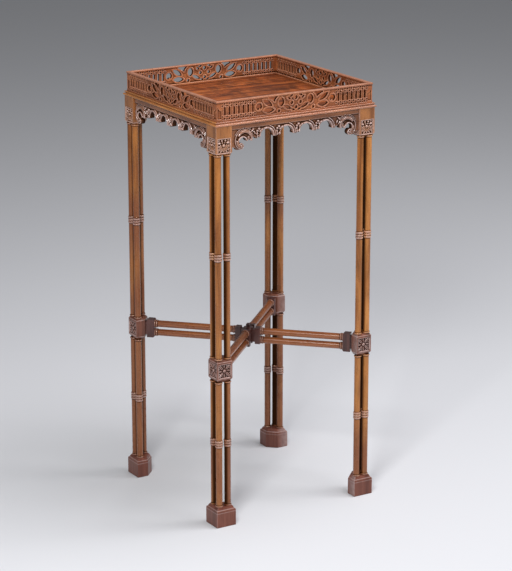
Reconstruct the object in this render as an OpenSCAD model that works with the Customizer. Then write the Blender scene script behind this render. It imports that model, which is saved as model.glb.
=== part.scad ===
// Kettle stand: a small square tray top with a pierced gallery, scrolled aprons,
// four legs that are each a cluster of three round columns, and a crossed stretcher.
// Millimetres, +Z up, origin on the floor under the middle of the tray.
// The front faces -Y, the left side faces -X.

/* [Overall] */
// Height from the floor to the gallery's rim
stand_h = 726; // [650:1:800]
// Width of the tray across the gallery's outer faces
tray_w = 300; // [280:1:340]
// Depth of the tray across the gallery's outer faces
tray_d = 300; // [280:1:340]
// Distance from the gallery's outer face to the middle of a leg cluster
leg_inset = 12; // [11:0.5:16]

/* [Tray] */
// Thickness of the tray board
board_t = 7.5; // [6:0.5:12]
// Depth of the rebate round the board that the gallery stands in
rebate_h = 2.5; // [1.5:0.5:4]
// Play between a gallery or a bead and the step of the rebate
rebate_gap = 0.1; // [0.05:0.05:0.3]
// How far the edge moulding stands out from the gallery
moulding_out = 5; // [4:0.5:8]
// Radius of the moulding's lower bead
moulding_bead_r = 1.9; // [1.2:0.1:2.4]
// Radius of the moulding's upper bead
moulding_fillet_r = 1.1; // [0.6:0.1:1.4]

/* [Gallery] */
// Height of the gallery above the tray board
gallery_h = 33.5; // [30:0.5:40]
// Thickness of the pierced gallery
gallery_t = 5; // [4:0.5:7]
// Width of the plain stile at each end of a gallery
stile_w = 11; // [9:0.5:14]
// Height of the rim rail
rim_h = 3.2; // [2.4:0.2:4.4]
// How far the rim stands out on each side of the gallery
rim_lip = 0.5; // [0.2:0.1:1]
// Height of the solid rail at the gallery's foot
foot_rail_h = 2.6; // [2:0.2:3.4]
// Width of the bead inside the gallery's foot
inner_bead_w = 2; // [1.2:0.2:3]
// Number of arches in each arcade
arch_count = 7; // [5:1:7]
// Distance from one arch to the next
arch_pitch = 8.7; // [8:0.1:9]
// Width of an arch's opening
arch_w = 3.8; // [2.8:0.1:4.4]
// Height of the sill under the arches above the board
arch_sill = 9.4; // [9:0.2:11]
// Height of the arches' straight sides
arch_side_h = 11.2; // [9:0.2:11.6]
// Radius of the small pierced holes
pierce_r = 1.35; // [0.9:0.05:1.4]
// Distance from the middle of a gallery to its pointed loops
loop_u = 28; // [26:0.5:30]
// Width of a pointed loop's opening
loop_w = 9.4; // [8:0.2:9.6]
// Height of that opening
loop_h = 13.5; // [11:0.5:14]
// Distance from the middle of a gallery to the crossing of its scrolls
crossing_u = 41.5; // [40:0.5:43]
// Distance from the middle of a gallery to the curl beside each arcade
curl_u = 70.5; // [69.5:0.5:71]
// Radius of the opening in that curl
curl_r = 5; // [4.4:0.1:5.2]
// Distance from the middle of a gallery to its two small eyes
eye_u = 8.3; // [7.6:0.1:9]
// Radius of an eye
eye_r = 2.1; // [1.6:0.1:2.6]
// Height of the raised edge round the gallery's openings
cord_h = 0.5; // [0.2:0.1:0.5]
// Distance between the edge of a stile and its sunk panel
stile_margin = 1.5; // [1:0.5:3]
// Depth of that panel
stile_panel_depth = 0.8; // [0.4:0.1:1.2]

/* [Frieze] */
// Height of the frieze, which is the height of the top blocks
frieze_h = 47; // [43:1:52]
// Thickness of an apron
apron_t = 9; // [8:0.5:12]
// How far an apron's face lies behind the faces of the top blocks
apron_back = 2; // [1:0.5:3]
// Depth of the apron at the points between its small arches
apron_point_h = 24; // [22:0.5:26]
// Depth of the bracket at each end of an apron
bracket_h = 42; // [40:0.5:43]
// Length of the bracket, with its large scroll
bracket_w = 47.5; // [46:0.5:50]
// Radius of the opening in the large scroll
hook_r = 6.4; // [5.6:0.2:7]
// Distance from the top block to the middle of that opening
hook_u = 20.8; // [20:0.2:22]
// Distance from the apron's top to the middle of that opening
hook_v = 29; // [28:0.5:30]
// Radius of the large scroll's main ridge
big_ridge_r = 13.4; // [12.8:0.2:14]
// Distance from the top block to the middle of that ridge
big_ridge_u = 24.3; // [23.5:0.1:25]
// Distance from the apron's top to the middle of that ridge
big_ridge_v = 26.8; // [26:0.2:28]
// Radius of the rounded end of that ridge
scroll_end_r = 2.2; // [1.8:0.1:2.6]
// Distance from the top block to the middle of the curl under the opening
volute_u = 17.8; // [17:0.1:18.6]
// Radius of that curl
volute_r = 5.4; // [4.6:0.2:5.8]
// Radius of the cove between the curl and the top block
bracket_cove_r = 7.8; // [6:0.2:9]
// Number of small arches in an apron
scallop_count = 4; // [3:1:5]
// Radius of a small arch's opening
scallop_r = 11.8; // [10:0.2:12.4]
// Distance from the apron's top to the top of a small arch's opening
scallop_top = 12.4; // [11:0.2:14]
// Width of the raised ridge along each scroll
ridge_w = 3; // [2:0.2:4]
// Height of that ridge above the apron's face
ridge_h = 1.6; // [0.8:0.1:2]
// Length of the tenon at each end of an apron
apron_tenon_l = 8; // [5:0.5:8]
// Thickness of that tenon
apron_tenon_t = 4; // [3:0.5:5]
// Height of that tenon
apron_tenon_h = 22; // [16:1:22]
// Play round a tenon in its mortise
joint_gap = 0.1; // [0.05:0.05:0.3]
// Length of a glue block behind an apron
glue_block_l = 40; // [25:1:60]
// Size of a glue block's two equal sides
glue_block_s = 9; // [7:0.5:12]

/* [Legs] */
// Diameter of a column
column_d = 11; // [9.5:0.5:12]
// Half the distance between neighbouring columns
column_s = 8.2; // [7.6:0.1:8.6]
// Radius of a turned ring's bead
ring_r = 2; // [1.4:0.1:2.4]
// How far a ring stands out from the column
ring_out = 1; // [0.6:0.1:1.3]
// Height of the rings on the upper columns
upper_ring_z = 467; // [400:1:520]
// Height of the rings on the lower columns
lower_ring_z = 146; // [100:1:190]
// Radius of the round tenon at a column's end
column_tenon_r = 3.5; // [2.5:0.1:4]
// Length of that tenon
column_tenon_l = 10; // [8:0.5:10]
// Extra depth of a socket beyond its tenon
socket_spare = 0.5; // [0.2:0.1:1]

/* [Blocks] */
// Width of a top block
top_block_w = 30; // [29:0.5:32]
// Width of a middle block
mid_block_w = 29; // [28.5:0.5:32]
// Height of a middle block's upright faces
mid_block_face_h = 31; // [29:0.5:36]
// Height of the shoulders above and below those faces
mid_block_shoulder_h = 3.5; // [2:0.5:4]
// How far those shoulders step in
mid_block_shoulder_in = 2.5; // [1:0.5:2.5]
// Height of the middle of the middle blocks and the stretcher
mid_z = 273.5; // [230:0.5:310]
// Distance from the middle of a leg cluster to a block's slanted inner face
mid_cut = 11.5; // [11:0.5:13]
// Width of the sunk carved panels on the top blocks
top_panel_w = 22.5; // [19:0.5:24]
// Width of the sunk carved panels on the middle blocks
mid_panel_w = 21; // [18:0.5:24]
// Depth of those panels
panel_depth = 1.8; // [1:0.1:2.2]
// Width of a foot
foot_w = 36.5; // [34:0.5:42]
// Height of a foot's upright faces
foot_face_h = 25.5; // [20:0.5:32]
// Height of a foot's sloping shoulder
foot_shoulder_h = 9; // [6:0.5:12]
// How far that shoulder steps in
foot_shoulder_in = 4; // [2:0.5:4.5]
// Distance from the middle of a leg cluster to a foot's slanted inner face
foot_cut = 14.5; // [13:0.5:18]
// Eased edge round the underside of a foot
foot_ease = 1; // [0.5:0.5:2]

/* [Stretcher] */
// Diameter of a stretcher rod
rod_d = 11.6; // [10:0.2:12]
// Distance between the upper and the lower rod
rod_pitch = 15.8; // [15.4:0.2:17]
// Width of an end block across the arm
end_block_w = 15; // [14:0.5:18]
// Height of an end block
end_block_h = 32; // [31:0.5:35]
// Length of an end block along the arm
end_block_l = 13.5; // [11.5:0.5:18]
// Size of the chamfer on its inner end
end_block_chamfer = 2; // [1:0.5:2]
// Length of the neck between a middle block and an end block
neck_l = 3; // [2:0.5:6]
// Width of that neck
neck_w = 10; // [8.5:0.5:12]
// Height of that neck
neck_h = 22; // [18:0.5:26]
// Radius of the dowel that joins an end block to its middle block
dowel_r = 3.6; // [3:0.1:4]
// Length of that dowel
dowel_l = 10; // [6:0.5:12]
// Distance from the middle of the stretcher to the hub's ends
hub_reach = 22; // [21:0.5:26]
// Length of the full-size end of a hub arm
hub_end_l = 9; // [8.5:0.5:10]
// Height of the hub
hub_h = 28; // [27.5:0.5:31]
// Width of the hub's slimmer waist
hub_waist_w = 11; // [9:0.5:13]
// Height of that waist
hub_waist_h = 22; // [20:0.5:26]
// Radius of the hub's round core
hub_core_r = 8; // [6.5:0.5:9]
// Radius of the rod's round tenons
rod_tenon_r = 3.5; // [3:0.1:4]
// Length of those tenons
rod_tenon_l = 7.5; // [6:0.5:7.5]
// Radius of the knob on the hub
knob_r = 2.8; // [2.2:0.1:3.6]
// Radius of the ball under the hub
drop_r = 4; // [3:0.1:5]
// Radius of the peg on the knob and on the drop
peg_r = 2; // [1.5:0.1:2.4]
// Length of that peg
peg_l = 6; // [4:0.5:8]

/* [Hidden] */
$fn = 48;
CORNERS = [["front_left", -1, -1], ["front_right", 1, -1], ["back_left", -1, 1], ["back_right", 1, 1]];
SIDES = [["front", 0], ["right", 90], ["back", 180], ["left", 270]];
// Columns of one leg, as steps from the middle of the cluster towards the tray's middle
COLUMNS = [["outer", -1, -1], ["along_x", 1, -1], ["along_y", -1, 1]];

board_z = stand_h - gallery_h;
frieze_z = board_z - board_t;
block_z = frieze_z - frieze_h;
leg_x = tray_w / 2 - leg_inset;
leg_y = tray_d / 2 - leg_inset;
arm_angle = atan2(leg_y, leg_x);
arm_l = norm([leg_x, leg_y]);
column_r = column_d / 2;
rod_r = rod_d / 2;
foot_h = foot_face_h + foot_shoulder_h;
mid_block_h = mid_block_face_h + 2 * mid_block_shoulder_h;
socket_r = column_tenon_r + joint_gap;
socket_l = column_tenon_l + socket_spare;
end_block_out = arm_l - mid_cut - neck_l;
end_block_in = end_block_out - end_block_l;
window_top = gallery_h - rim_h;
window_mid = (window_top + foot_rail_h) / 2;
mahogany = "#8a4526";
mahogany_light = "#a4602f";
mahogany_red = "#a8441c";
mahogany_dark = "#6d3322";

// Placing

function side_length(angle) = angle % 180 == 0 ? tray_w : tray_d;
function side_face(angle) = angle % 180 == 0 ? tray_d / 2 : tray_w / 2;

// Turns a piece made along +X with its outer face on Y = 0 to one side of the tray
module on_side(angle) {
    rotate([0, 0, angle]) translate([0, -side_face(angle), 0]) children();
}

module flipped(axis, on) {
    if (on) mirror(axis) children();
    else children();
}

// Puts a piece made for the front left leg, about the middle of its cluster, at a corner
module at_corner(corner) {
    flipped([1, 0, 0], corner[1] > 0)
        flipped([0, 1, 0], corner[2] > 0)
            translate([-leg_x, -leg_y, 0]) children();
}

// Turns a piece made along +X from the stretcher's middle towards one corner
module along_arm(corner) {
    flipped([1, 0, 0], corner[1] < 0)
        flipped([0, 1, 0], corner[2] < 0)
            rotate([0, 0, arm_angle]) children();
}

// Keeps what lies between the two mitres of a side's corners
module mitred(length, out, depth) {
    reach = length / 2 + out;
    intersection() {
        children();
        translate([0, 0, -1])
            linear_extrude(stand_h + 2)
                polygon([[-reach, -out], [reach, -out], [reach - depth, depth - out], [depth - reach, depth - out]]);
    }
}

// Flat outlines of the gallery, with X along the side and Y up from the board

module ring_2d(radius, width) {
    difference() {
        circle(radius);
        circle(radius - width);
    }
}

// A pointed lens that is half_w and half_h from its middle to its edges
module lens_2d(half_w, half_h) {
    radius = (half_w * half_w + half_h * half_h) / (2 * half_w);
    intersection() {
        translate([radius - half_w, 0]) circle(radius);
        translate([half_w - radius, 0]) circle(radius);
    }
}

// A lens that lies along its length, turned up by an angle
module leaf_2d(u, w, half_l, half_w, angle) {
    translate([u, w]) rotate(angle - 90) lens_2d(half_w, half_l);
}

// One arch with its pointed head
module arch_2d() {
    translate([-arch_w / 2, arch_sill]) square([arch_w, arch_side_h]);
    translate([0, arch_sill + arch_side_h])
        intersection() {
            translate([-arch_w / 2, 0]) circle(arch_w);
            translate([arch_w / 2, 0]) circle(arch_w);
            translate([-arch_w, 0]) square([2 * arch_w, 2 * arch_w]);
        }
}

// The openings of one arcade, from its outer end at X = 0
module arcade_2d() {
    low_z = foot_rail_h + pierce_r + 0.5;
    high_z = window_top - pierce_r - 0.4;
    step_z = 3.3;
    for (i = [0 : arch_count - 1])
        translate([(i + 0.5) * arch_pitch, 0]) {
            arch_2d();
            translate([0, low_z]) circle(pierce_r);
            translate([0, high_z]) circle(pierce_r);
        }
    for (i = [0 : arch_count])
        translate([i * arch_pitch, 0]) {
            translate([0, low_z + step_z]) circle(pierce_r);
            translate([0, high_z - step_z]) circle(pierce_r);
        }
}

// The openings of one half of the scrolled middle, from the middle at X = 0
module half_middle_2d() {
    // Small slits round the rosette
    leaf_2d(9, window_top - 1.6, 3, 1.1, -15);
    leaf_2d(13.5, window_top - 5.2, 2.8, 1.1, 35);
    leaf_2d(5.8, foot_rail_h + 3, 2.8, 1, 20);
    translate([eye_u, window_mid + 0.6]) circle(eye_r);
    leaf_2d(16.5, window_mid - 6, 7.6, 2.1, 25);
    // The pointed loop and the hole below it
    translate([loop_u, window_mid + 3.6]) lens_2d(loop_w / 2, loop_h / 2);
    translate([loop_u + 4.8, foot_rail_h + 3.4]) circle(1.8);
    // The openings over, beside and under the crossing
    difference() {
        translate([crossing_u - 7, window_top - 7.4]) square([17, 7]);
        translate([crossing_u - 13.5, window_top - 11]) circle(13);
        translate([crossing_u + 14, window_top - 22]) circle(20.4);
    }
    leaf_2d(crossing_u + 12.3, window_mid + 4.8, 9.3, 3.3, 33);
    leaf_2d(crossing_u + 10.3, window_mid - 7.2, 9.4, 3.7, 3);
    // The curl with the leaf that grows into it
    translate([curl_u, window_mid + 0.4])
        difference() {
            circle(curl_r);
            translate([-1.4, -curl_r]) circle(2.4);
        }
}

module rosette_2d() {
    translate([0, window_top - 5.2]) circle(2.5);
    translate([0, foot_rail_h + 6.4]) circle(1.9);
}

module middle_2d() {
    half_middle_2d();
    mirror([1, 0]) half_middle_2d();
    rosette_2d();
}

module gallery_2d(length) {
    difference() {
        translate([-length / 2, -rebate_h]) square([length, gallery_h + rebate_h]);
        for (way = [0, 1])
            mirror([way, 0]) translate([length / 2 - stile_w, 0]) mirror([1, 0]) arcade_2d();
        middle_2d();
    }
}

// Raised cords on the outer face of a gallery, along its scrolls
module cords_2d() {
    for (way = [0, 1])
        mirror([way, 0]) {
            translate([eye_u, window_mid + 0.6]) ring_2d(eye_r + 2.2, 1.4);
            translate([curl_u, window_mid + 0.4]) ring_2d(curl_r + 1.6, 1.4);
            translate([loop_u, window_mid + 3.6])
                difference() {
                    lens_2d(loop_w / 2 + 1.7, loop_h / 2 + 2.4);
                    lens_2d(loop_w / 2 + 0.3, loop_h / 2 + 0.4);
                }
        }
}

// The sunk panel of a stile, from the corner at X = 0; its head drops away from the corner
module stile_panel_2d() {
    width = stile_w - 2 * stile_margin;
    top = arch_sill + arch_side_h + 3;
    difference() {
        translate([stile_margin, foot_rail_h + 1]) square([width, top - foot_rail_h - 1]);
        translate([stile_margin + width + 1, top + 1]) circle(width);
    }
}

module gallery(length) {
    mitred(length, rim_lip, rim_lip + gallery_t + inner_bead_w) union() {
        translate([0, 0.2, board_z]) rotate([90, 0, 0]) linear_extrude(cord_h + 0.2) cords_2d();
        difference() {
            translate([0, gallery_t, board_z])
                rotate([90, 0, 0]) linear_extrude(gallery_t) gallery_2d(length);
            for (way = [0, 1])
                mirror([way, 0, 0]) translate([-length / 2, stile_panel_depth, board_z])
                    rotate([90, 0, 0]) linear_extrude(stile_panel_depth + 1) stile_panel_2d();
        }
        translate([-length / 2 - rim_lip, -rim_lip, stand_h - rim_h])
            cube([length + 2 * rim_lip, gallery_t + 2 * rim_lip, rim_h]);
        translate([-length / 2, gallery_t, board_z - rebate_h])
            cube([length, inner_bead_w, rebate_h + foot_rail_h - inner_bead_w / 2]);
        translate([-length / 2, gallery_t + inner_bead_w / 2, board_z + foot_rail_h - inner_bead_w / 2])
            rotate([0, 90, 0]) cylinder(r = inner_bead_w / 2, h = length);
    }
}

// Top

module tray_panel() {
    step = gallery_t + inner_bead_w + rebate_gap;
    color(mahogany_red) difference() {
        translate([-tray_w / 2, -tray_d / 2, frieze_z]) cube([tray_w, tray_d, board_t]);
        difference() {
            translate([-tray_w / 2 - 1, -tray_d / 2 - 1, board_z - rebate_h])
                cube([tray_w + 2, tray_d + 2, rebate_h + 1]);
            translate([step - tray_w / 2, step - tray_d / 2, frieze_z])
                cube([tray_w - 2 * step, tray_d - 2 * step, board_t + 1]);
        }
    }
}

module edge_moulding(length) {
    low = moulding_out - moulding_bead_r;
    color(mahogany) mitred(length, moulding_out, moulding_out)
        translate([-length / 2 - moulding_out, 0, frieze_z])
            rotate([90, 0, 90]) linear_extrude(length + 2 * moulding_out) {
                translate([-low, 0]) square([low, moulding_bead_r * 2]);
                translate([-low, moulding_bead_r]) circle(moulding_bead_r);
                translate([-low * 0.55, 0]) square([low * 0.55, board_t]);
                translate([-low * 0.55 - moulding_fillet_r / 2, board_t - moulding_fillet_r])
                    circle(moulding_fillet_r);
                translate([-low * 0.55 - moulding_fillet_r / 2, board_t - 2 * moulding_fillet_r])
                    square([moulding_fillet_r, 2 * moulding_fillet_r]);
            }
}

// Frieze

// Places its children, made about the middle of an opening, at each small arch
module at_scallops(length) {
    zone = length - 2 * bracket_w;
    pitch = zone / scallop_count;
    for (i = [0 : scallop_count - 1])
        translate([(i + 0.5) * pitch - zone / 2, -scallop_top - scallop_r]) children();
}

// Places its children, made with +X away from the block, at both ends of an apron
module at_brackets(length) {
    for (way = [0, 1])
        mirror([way, 0]) translate([-length / 2, 0]) children();
}

// Outline of an apron, with Y = 0 at its top
module apron_2d(length) {
    zone = length - 2 * bracket_w;
    difference() {
        union() {
            translate([-length / 2, -apron_point_h]) square([length, apron_point_h]);
            at_brackets(length) {
                translate([0, -big_ridge_v]) square([big_ridge_u + big_ridge_r + ridge_w / 2, big_ridge_v]);
                translate([0, -bracket_h]) square([volute_u, bracket_h]);
            }
        }
        at_scallops(length) circle(scallop_r);
        at_brackets(length) {
            translate([hook_u, -hook_v]) circle(hook_r);
            translate([0.4 * bracket_cove_r, -bracket_h - 0.4 * bracket_cove_r]) circle(bracket_cove_r);
        }
    }
    at_brackets(length) {
        translate([volute_u, volute_r - bracket_h]) circle(volute_r);
        for (u = [big_ridge_u + big_ridge_r - scroll_end_r / 2, hook_u + hook_r + scroll_end_r])
            translate([u, -big_ridge_v]) circle(scroll_end_r);
    }
    // Small curls at the feet of the arches and leaves between them
    at_scallops(length)
        for (way = [-1, 1])
            translate([way * (scallop_r + 1.4), scallop_r + scallop_top - apron_point_h]) circle(2);
    for (i = [0 : scallop_count])
        translate([(i / scallop_count - 0.5) * zone, -apron_point_h]) lens_2d(2.2, 3.4);
}

// Ridges along the scrolls, with a second reed and three leaf lobes beside each small arch
module ridges_2d(length) {
    at_scallops(length) {
        intersection() {
            union() {
                ring_2d(scallop_r + ridge_w, ridge_w);
                intersection() {
                    ring_2d(scallop_r + 2 * ridge_w, ridge_w / 2);
                    translate([scallop_r / 2, 0]) square(scallop_r * 2);
                }
            }
            translate([-scallop_r / 2, 0.2]) square(scallop_r * 4);
        }
        for (turn = [122, 150, 178])
            rotate(turn) translate([scallop_r + 0.7 * ridge_w, 0]) circle(ridge_w * 0.6);
    }
    at_brackets(length) {
        translate([big_ridge_u, -big_ridge_v]) {
            intersection() {
                ring_2d(big_ridge_r + ridge_w / 2, ridge_w);
                translate([-0.95 * big_ridge_r, 0]) square([2.2 * big_ridge_r, 2 * big_ridge_r]);
            }
            intersection() {
                ring_2d(big_ridge_r + 1.5 * ridge_w, ridge_w / 2);
                translate([-2 * big_ridge_r, -0.5 * big_ridge_r]) square([2.4 * big_ridge_r, 2 * big_ridge_r]);
            }
        }
        translate([hook_u, -hook_v])
            intersection() {
                ring_2d(hook_r + 0.8 * ridge_w, 0.7 * ridge_w);
                translate([-2 * hook_r, 0]) square([4 * hook_r, 2 * hook_r]);
            }
        translate([volute_u, volute_r - bracket_h]) circle(volute_r * 0.6);
    }
}

module apron(angle) {
    length = side_length(angle) - 2 * leg_inset - top_block_w;
    face = leg_inset - top_block_w / 2 + apron_back;
    color(mahogany) {
        translate([0, face + apron_t, frieze_z])
            rotate([90, 0, 0]) {
                linear_extrude(apron_t) apron_2d(length);
                translate([0, 0, apron_t]) linear_extrude(ridge_h) ridges_2d(length);
                for (way = [0, 1])
                    mirror([way, 0, 0])
                        translate([-length / 2 - apron_tenon_l, -apron_tenon_h - 4, (apron_t - apron_tenon_t) / 2])
                            cube([apron_tenon_l + 1, apron_tenon_h, apron_tenon_t]);
            }
    }
}

// Blocks that bridge the tray board and the aprons behind the frieze
module glue_blocks() {
    color(mahogany_light)
        for (s = SIDES, way = [-1, 1])
            on_side(s[1])
                translate([
                    way * side_length(s[1]) / 5 - glue_block_l / 2,
                    leg_inset - top_block_w / 2 + apron_back + apron_t,
                    frieze_z
                ])
                    rotate([90, 0, 90]) linear_extrude(glue_block_l)
                        polygon([[0, 0], [glue_block_s, 0], [0, -glue_block_s]]);
}

// Blocks and feet

// Side outline of a block: stepped in at its bottom and top, upright between
module shoulder_2d(half, low_in, low_h, face_top, high_in, top) {
    polygon([
        [low_in - half, 0], [half - low_in, 0], [half, low_h], [half, face_top],
        [half - high_in, top], [high_in - half, top], [-half, face_top], [-half, low_h]
    ]);
}

// A square block from Z = 0 whose inner corner is cut square to the stretcher's arm
module cluster_block(width, cut, low_in, low_h, face_top, high_in, top) {
    intersection() {
        translate([0, width, 0]) rotate([90, 0, 0]) linear_extrude(2 * width)
            shoulder_2d(width / 2, low_in, low_h, face_top, high_in, top);
        translate([-width, 0, 0]) rotate([90, 0, 90]) linear_extrude(2 * width)
            shoulder_2d(width / 2, low_in, low_h, face_top, high_in, top);
        rotate([0, 0, arm_angle]) translate([cut - width * 2, width * 2, 0])
            rotate([90, 0, 0]) linear_extrude(4 * width)
                shoulder_2d(width * 2, low_in, low_h, face_top, high_in, top);
    }
}

// Sockets for the three columns, opening downwards from Z = 0
module column_sockets() {
    for (k = COLUMNS)
        translate([k[1] * column_s, k[2] * column_s, 0]) {
            cylinder(r = socket_r, h = socket_l);
            translate([0, 0, -1]) cylinder(r = socket_r, h = 2);
        }
}

// A sunk panel with a carved flower, cut into or left on the face Y = 0
module sunk_panel(panel_w) {
    translate([-panel_w / 2, -1, -panel_w / 2]) cube([panel_w, panel_depth + 1, panel_w]);
}

module carved_flower(panel_w) {
    rotate([-90, 0, 0]) {
        cylinder(r = panel_w * 0.15, h = panel_depth + 0.2);
        for (i = [0 : 3])
            rotate([0, 0, 90 * i + 45]) translate([panel_w * 0.3, 0, 0.4])
                cylinder(r = panel_w * 0.16, h = panel_depth - 0.2);
    }
}

// Puts a piece made on the face Y = 0 on both outer faces of a block
module on_outer_faces(width) {
    translate([0, -width / 2, 0]) children();
    mirror([1, -1, 0]) translate([0, -width / 2, 0]) children();
}

module top_block() {
    half = top_block_w / 2;
    panel_z = top_panel_w / 2 + mid_block_shoulder_h;
    seat = apron_back + apron_t / 2 - half;
    slot_t = apron_tenon_t + 2 * joint_gap;
    slot_h = apron_tenon_h + 2 * joint_gap;
    slot_l = apron_tenon_l + socket_spare;
    color(mahogany) translate([0, 0, block_z]) difference() {
        union() {
            difference() {
                cluster_block(top_block_w, mid_cut + 4, 2, mid_block_shoulder_h, frieze_h - 0.01, 0, frieze_h);
                on_outer_faces(top_block_w) translate([0, 0, panel_z]) sunk_panel(top_panel_w);
            }
            on_outer_faces(top_block_w) translate([0, 0, panel_z]) carved_flower(top_panel_w);
        }
        column_sockets();
        translate([half - slot_l, seat - slot_t / 2, frieze_h - 4 - apron_tenon_h - joint_gap])
            cube([slot_l + 1, slot_t, slot_h]);
        translate([seat - slot_t / 2, half - slot_l, frieze_h - 4 - apron_tenon_h - joint_gap])
            cube([slot_t, slot_l + 1, slot_h]);
    }
}

module middle_block() {
    color(mahogany) translate([0, 0, mid_z - mid_block_h / 2]) difference() {
        union() {
            difference() {
                cluster_block(
                    mid_block_w, mid_cut, mid_block_shoulder_in, mid_block_shoulder_h,
                    mid_block_h - mid_block_shoulder_h, mid_block_shoulder_in, mid_block_h
                );
                on_outer_faces(mid_block_w) translate([0, 0, mid_block_h / 2]) sunk_panel(mid_panel_w);
            }
            on_outer_faces(mid_block_w) translate([0, 0, mid_block_h / 2]) carved_flower(mid_panel_w);
        }
        column_sockets();
        translate([0, 0, mid_block_h]) mirror([0, 0, 1]) column_sockets();
        rotate([0, 0, arm_angle]) translate([mid_cut - dowel_l - socket_spare, 0, mid_block_h / 2])
            rotate([0, 90, 0]) cylinder(r = dowel_r + joint_gap, h = dowel_l + socket_spare + 1);
    }
}

module foot() {
    color(mahogany_dark) difference() {
        cluster_block(foot_w, foot_cut, foot_ease, foot_ease, foot_face_h, foot_shoulder_in, foot_h);
        translate([0, 0, foot_h]) mirror([0, 0, 1]) column_sockets();
    }
}

// Columns

// Half section of a turned rod from Z = 0 with a tenon at each end
module turned_2d(radius, length, tenon_r, tenon_l, rings) {
    translate([0, -tenon_l]) square([tenon_r, length + 2 * tenon_l]);
    square([radius, length]);
    for (z = rings)
        intersection() {
            translate([radius + ring_out - ring_r, z]) circle(ring_r);
            translate([0, z - ring_r]) square([radius + ring_out, 2 * ring_r]);
        }
}

module column(low, high, ring_z) {
    length = high - low;
    step = 2 * ring_r;
    middle = ring_z - low;
    translate([0, 0, low]) rotate_extrude()
        turned_2d(
            column_r, length, column_tenon_r, column_tenon_l,
            [ring_r, middle - step, middle, middle + step, length - ring_r]
        );
}

module upper_column(step) {
    color(mahogany_light) translate([step[1] * column_s, step[2] * column_s, 0])
        column(mid_z + mid_block_h / 2, block_z, upper_ring_z);
}

module lower_column(step) {
    color(mahogany_light) translate([step[1] * column_s, step[2] * column_s, 0])
        column(foot_h, mid_z - mid_block_h / 2, lower_ring_z);
}

// Stretcher

module rod() {
    length = end_block_in - hub_reach;
    color(mahogany_light) translate([hub_reach, 0, 0]) rotate([0, 90, 0]) rotate_extrude()
        turned_2d(
            rod_r, length, rod_tenon_r, rod_tenon_l,
            [ring_r, 3 * ring_r, length - 3 * ring_r, length - ring_r]
        );
}

// The four rods at one height, each from the hub to an end block
module stretcher_rods(way) {
    for (c = CORNERS)
        along_arm(c) translate([0, 0, mid_z + way * rod_pitch / 2]) rod();
}

// Blind holes for a pair of rods, from X = 0 towards +X
module rod_sockets() {
    for (way = [-1, 1])
        translate([-1, 0, way * rod_pitch / 2]) rotate([0, 90, 0])
            cylinder(r = rod_tenon_r + joint_gap, h = rod_tenon_l + socket_spare + 1);
}

module stretcher_end() {
    out = end_block_l;
    ease = end_block_chamfer;
    color(mahogany) translate([end_block_in, 0, mid_z]) {
        difference() {
            intersection() {
                translate([0, end_block_w, 0]) rotate([90, 0, 0]) linear_extrude(2 * end_block_w)
                    polygon([
                        [0, ease - end_block_h / 2], [ease, -end_block_h / 2], [out, -end_block_h / 2],
                        [out, end_block_h / 2], [ease, end_block_h / 2], [0, end_block_h / 2 - ease]
                    ]);
                translate([0, 0, -end_block_h]) linear_extrude(2 * end_block_h)
                    polygon([
                        [0, ease / 2 - end_block_w / 2], [ease, -end_block_w / 2], [out, -end_block_w / 2],
                        [out, end_block_w / 2], [ease, end_block_w / 2], [0, end_block_w / 2 - ease / 2]
                    ]);
            }
            rod_sockets();
        }
        translate([out, -neck_w / 2, -neck_h / 2]) cube([neck_l, neck_w, neck_h]);
        translate([out, 0, 0]) rotate([0, 90, 0]) cylinder(r = dowel_r, h = neck_l + dowel_l);
    }
}

module stretcher_hub() {
    color(mahogany_dark) translate([0, 0, mid_z]) difference() {
        union() {
            for (c = CORNERS)
                along_arm(c) {
                    translate([0, -hub_waist_w / 2, -hub_waist_h / 2])
                        cube([hub_reach - 1, hub_waist_w, hub_waist_h]);
                    translate([hub_reach - hub_end_l, -end_block_w / 2, -hub_h / 2])
                        cube([hub_end_l, end_block_w, hub_h]);
                }
            cylinder(r = hub_core_r, h = hub_h, center = true);
        }
        for (c = CORNERS)
            along_arm(c) translate([hub_reach, 0, 0]) mirror([1, 0, 0]) rod_sockets();
        for (way = [0, 1])
            mirror([0, 0, way]) translate([0, 0, hub_h / 2 - peg_l - socket_spare])
                cylinder(r = peg_r + joint_gap, h = peg_l + socket_spare + 1);
    }
}

// A small ball on a fillet and a peg, standing on Z = 0
module finial(ball_r) {
    rotate_extrude() {
        translate([0, -peg_l]) square([peg_r, peg_l + ball_r]);
        square([ball_r * 1.2, ball_r * 0.35]);
        intersection() {
            translate([0, ball_r * 1.2]) circle(ball_r);
            translate([0, 0]) square([ball_r, ball_r * 3]);
        }
    }
}

module hub_knob() {
    color(mahogany_dark) translate([0, 0, mid_z + hub_h / 2]) finial(knob_r);
}

module hub_drop() {
    color(mahogany_dark) translate([0, 0, mid_z - hub_h / 2]) mirror([0, 0, 1]) finial(drop_r);
}

tray_panel();
glue_blocks();
stretcher_hub();
hub_knob();
hub_drop();
stretcher_rods(1);  // stretcher_rods_upper
stretcher_rods(-1);  // stretcher_rods_lower
for (s = SIDES) {
    color(mahogany_red) on_side(s[1]) gallery(side_length(s[1]));
    on_side(s[1]) edge_moulding(side_length(s[1]));
    on_side(s[1]) apron(s[1]);
}
for (c = CORNERS) {
    at_corner(c) top_block();
    at_corner(c) middle_block();
    at_corner(c) foot();
    along_arm(c) stretcher_end();
    for (k = COLUMNS) {
        at_corner(c) upper_column(k);
        at_corner(c) lower_column(k);
    }
}
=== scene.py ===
import math

import bpy
import numpy as np
from mathutils import Matrix, Vector


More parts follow.
